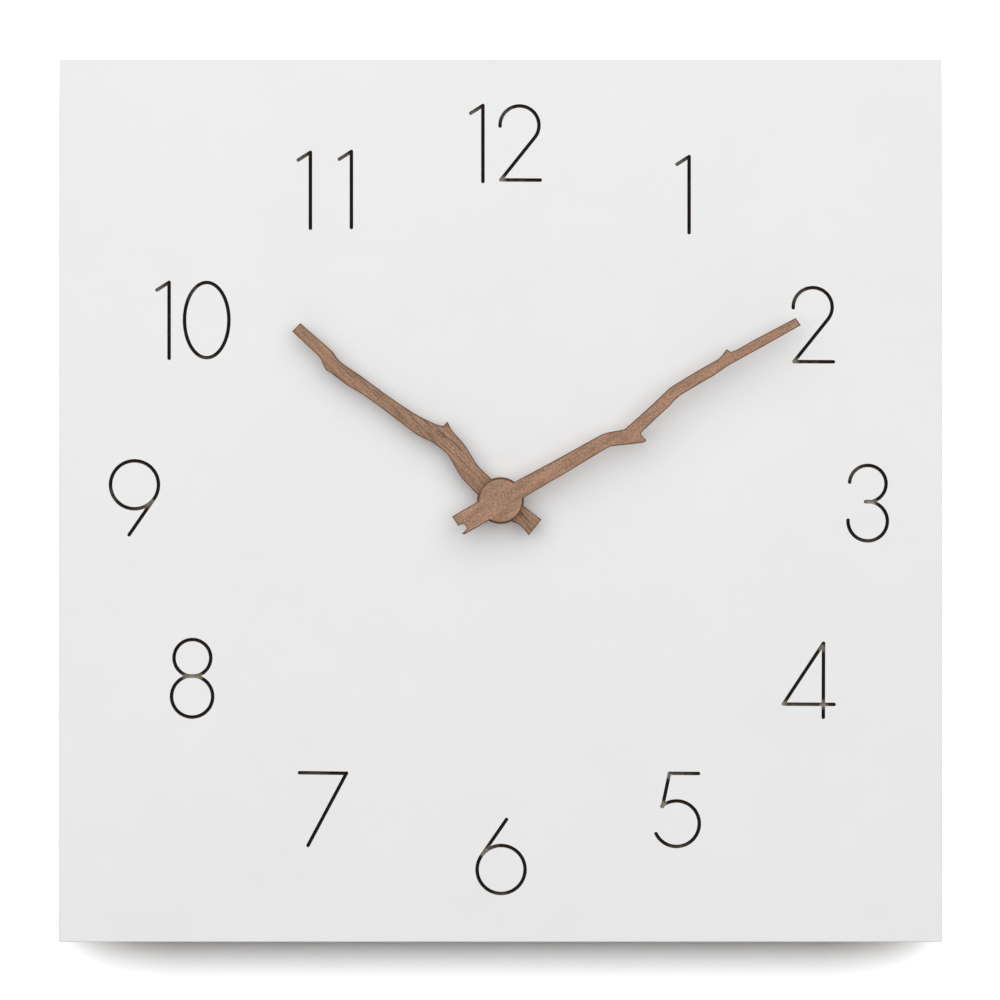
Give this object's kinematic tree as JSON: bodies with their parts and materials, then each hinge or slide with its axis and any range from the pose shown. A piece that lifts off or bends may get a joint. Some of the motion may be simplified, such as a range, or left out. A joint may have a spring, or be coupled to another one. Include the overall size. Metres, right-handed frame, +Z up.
{
  "type": "wooden wall clock",
  "caption": "Square wall clock: pale wooden board with engraved hour figures, twig-shaped wooden hands, and a battery quartz movement behind it that hangs on a wall screw.",
  "frame": {"origin": "on the axis of the hands, in the plane of the wall, which is the rear face of the movement's cover", "axes": "+Z up the dial to the figure 12, +X to the right seen from the front, -Y towards the viewer, +Y into the wall"},
  "size_m": [0.3, 0.0364, 0.3],
  "materials": {
    "board_paint": "fibreboard with matte pale grey paint",
    "walnut": "laser-cut thin walnut, unvarnished, burnt edges",
    "brass": "bright turned brass",
    "bright_steel": "bright steel",
    "zinc_steel": "zinc-plated sheet",
    "nickel_strip": "nickel-plated spring strip",
    "soft_iron": "plain stamped iron",
    "magnet": "sintered magnet",
    "copper": "enamelled copper wire",
    "rubber": "matte rubber",
    "black_resin": "cast resin",
    "battery_sleeve": "printed sleeve on a cell",
    "circuit_green": "solder-masked laminate",
    "black_plastic": "moulded, fine texture",
    "white_plastic": "moulded acetal",
    "blue_plastic": "moulded"
  },
  "bodies": {
    "case": {"dial_board": "board_paint", "dial_washer": "brass", "rubber_gasket": "rubber", "fixing_nut": "brass", "threaded_bushing": "brass", "hanger_plate": "zinc_steel", "front_case": "black_plastic", "rear_cover": "black_plastic", "middle_plate": "white_plastic", "stator_plate": "soft_iron", "coil_core": "soft_iron", "coil_bobbin": "blue_plastic", "coil_winding": "copper", "circuit_board": "circuit_green", "chip_cover": "black_resin", "quartz_crystal": "bright_steel", "positive_contact": "nickel_strip", "negative_contact": "nickel_strip"},
    "minute": {"minute_hand": "walnut", "minute_hand_bush": "brass", "minute_arbor": "bright_steel", "clutch_spring": "bright_steel"},
    "hour": {"hour_hand": "walnut", "hour_hand_bush": "brass", "hour_wheel": "white_plastic"},
    "motion": {"motion_wheel": "white_plastic"},
    "setting": {"setting_knob": "black_plastic", "setting_pinion": "white_plastic"},
    "rotor": {"rotor_pinion": "white_plastic", "rotor_magnet": "magnet"},
    "transfer": {"transfer_wheel": "white_plastic"},
    "seconds": {"seconds_wheel": "white_plastic", "seconds_arbor": "bright_steel"},
    "third": {"third_wheel": "white_plastic"},
    "centre": {"centre_wheel": "white_plastic"},
    "cell": {"battery": "battery_sleeve"}
  },
  "joints": [
    {"name": "minute_hand_turn", "type": "hinge", "parent": "case", "child": "minute", "pos_m": [0, 0, 0], "axis": [0, 1, 0], "continuous": true},
    {"name": "hour_hand_turn", "type": "hinge", "parent": "case", "child": "hour", "pos_m": [0, 0, 0], "axis": [0, 1, 0], "continuous": true},
    {"name": "motion_wheel_turn", "type": "hinge", "parent": "case", "child": "motion", "pos_m": [0.008, 0, 0], "axis": [0, 1, 0], "continuous": true},
    {"name": "setting_knob_turn", "type": "hinge", "parent": "case", "child": "setting", "pos_m": [0.01618, 0, -0.00189], "axis": [0, 1, 0], "continuous": true},
    {"name": "rotor_turn", "type": "hinge", "parent": "case", "child": "rotor", "pos_m": [0.00796, 0, 0.01298], "axis": [0, 1, 0], "continuous": true},
    {"name": "transfer_wheel_turn", "type": "hinge", "parent": "case", "child": "transfer", "pos_m": [0.00287, 0, 0.00789], "axis": [0, 1, 0], "continuous": true},
    {"name": "seconds_wheel_turn", "type": "hinge", "parent": "case", "child": "seconds", "pos_m": [0, 0, 0], "axis": [0, 1, 0], "continuous": true},
    {"name": "third_wheel_turn", "type": "hinge", "parent": "case", "child": "third", "pos_m": [-0.0102, 0, 0], "axis": [0, 1, 0], "continuous": true},
    {"name": "centre_wheel_turn", "type": "hinge", "parent": "case", "child": "centre", "pos_m": [0, 0, 0], "axis": [0, 1, 0], "continuous": true},
    {"name": "battery_slide", "type": "slide", "parent": "case", "child": "cell", "axis": [0, 1, 0], "range_m": [0, 0.02]}
  ],
  "couplings": [
    {"joint": "hour_hand_turn", "follows": "minute_hand_turn", "ratio": 0.083333},
    {"joint": "motion_wheel_turn", "follows": "minute_hand_turn", "ratio": -0.33333},
    {"joint": "setting_knob_turn", "follows": "minute_hand_turn", "ratio": 0.83333},
    {"joint": "transfer_wheel_turn", "follows": "rotor_turn", "ratio": -0.2},
    {"joint": "seconds_wheel_turn", "follows": "rotor_turn", "ratio": 0.033333},
    {"joint": "third_wheel_turn", "follows": "rotor_turn", "ratio": -0.0044444},
    {"joint": "centre_wheel_turn", "follows": "rotor_turn", "ratio": 0.00055556}
  ]
}
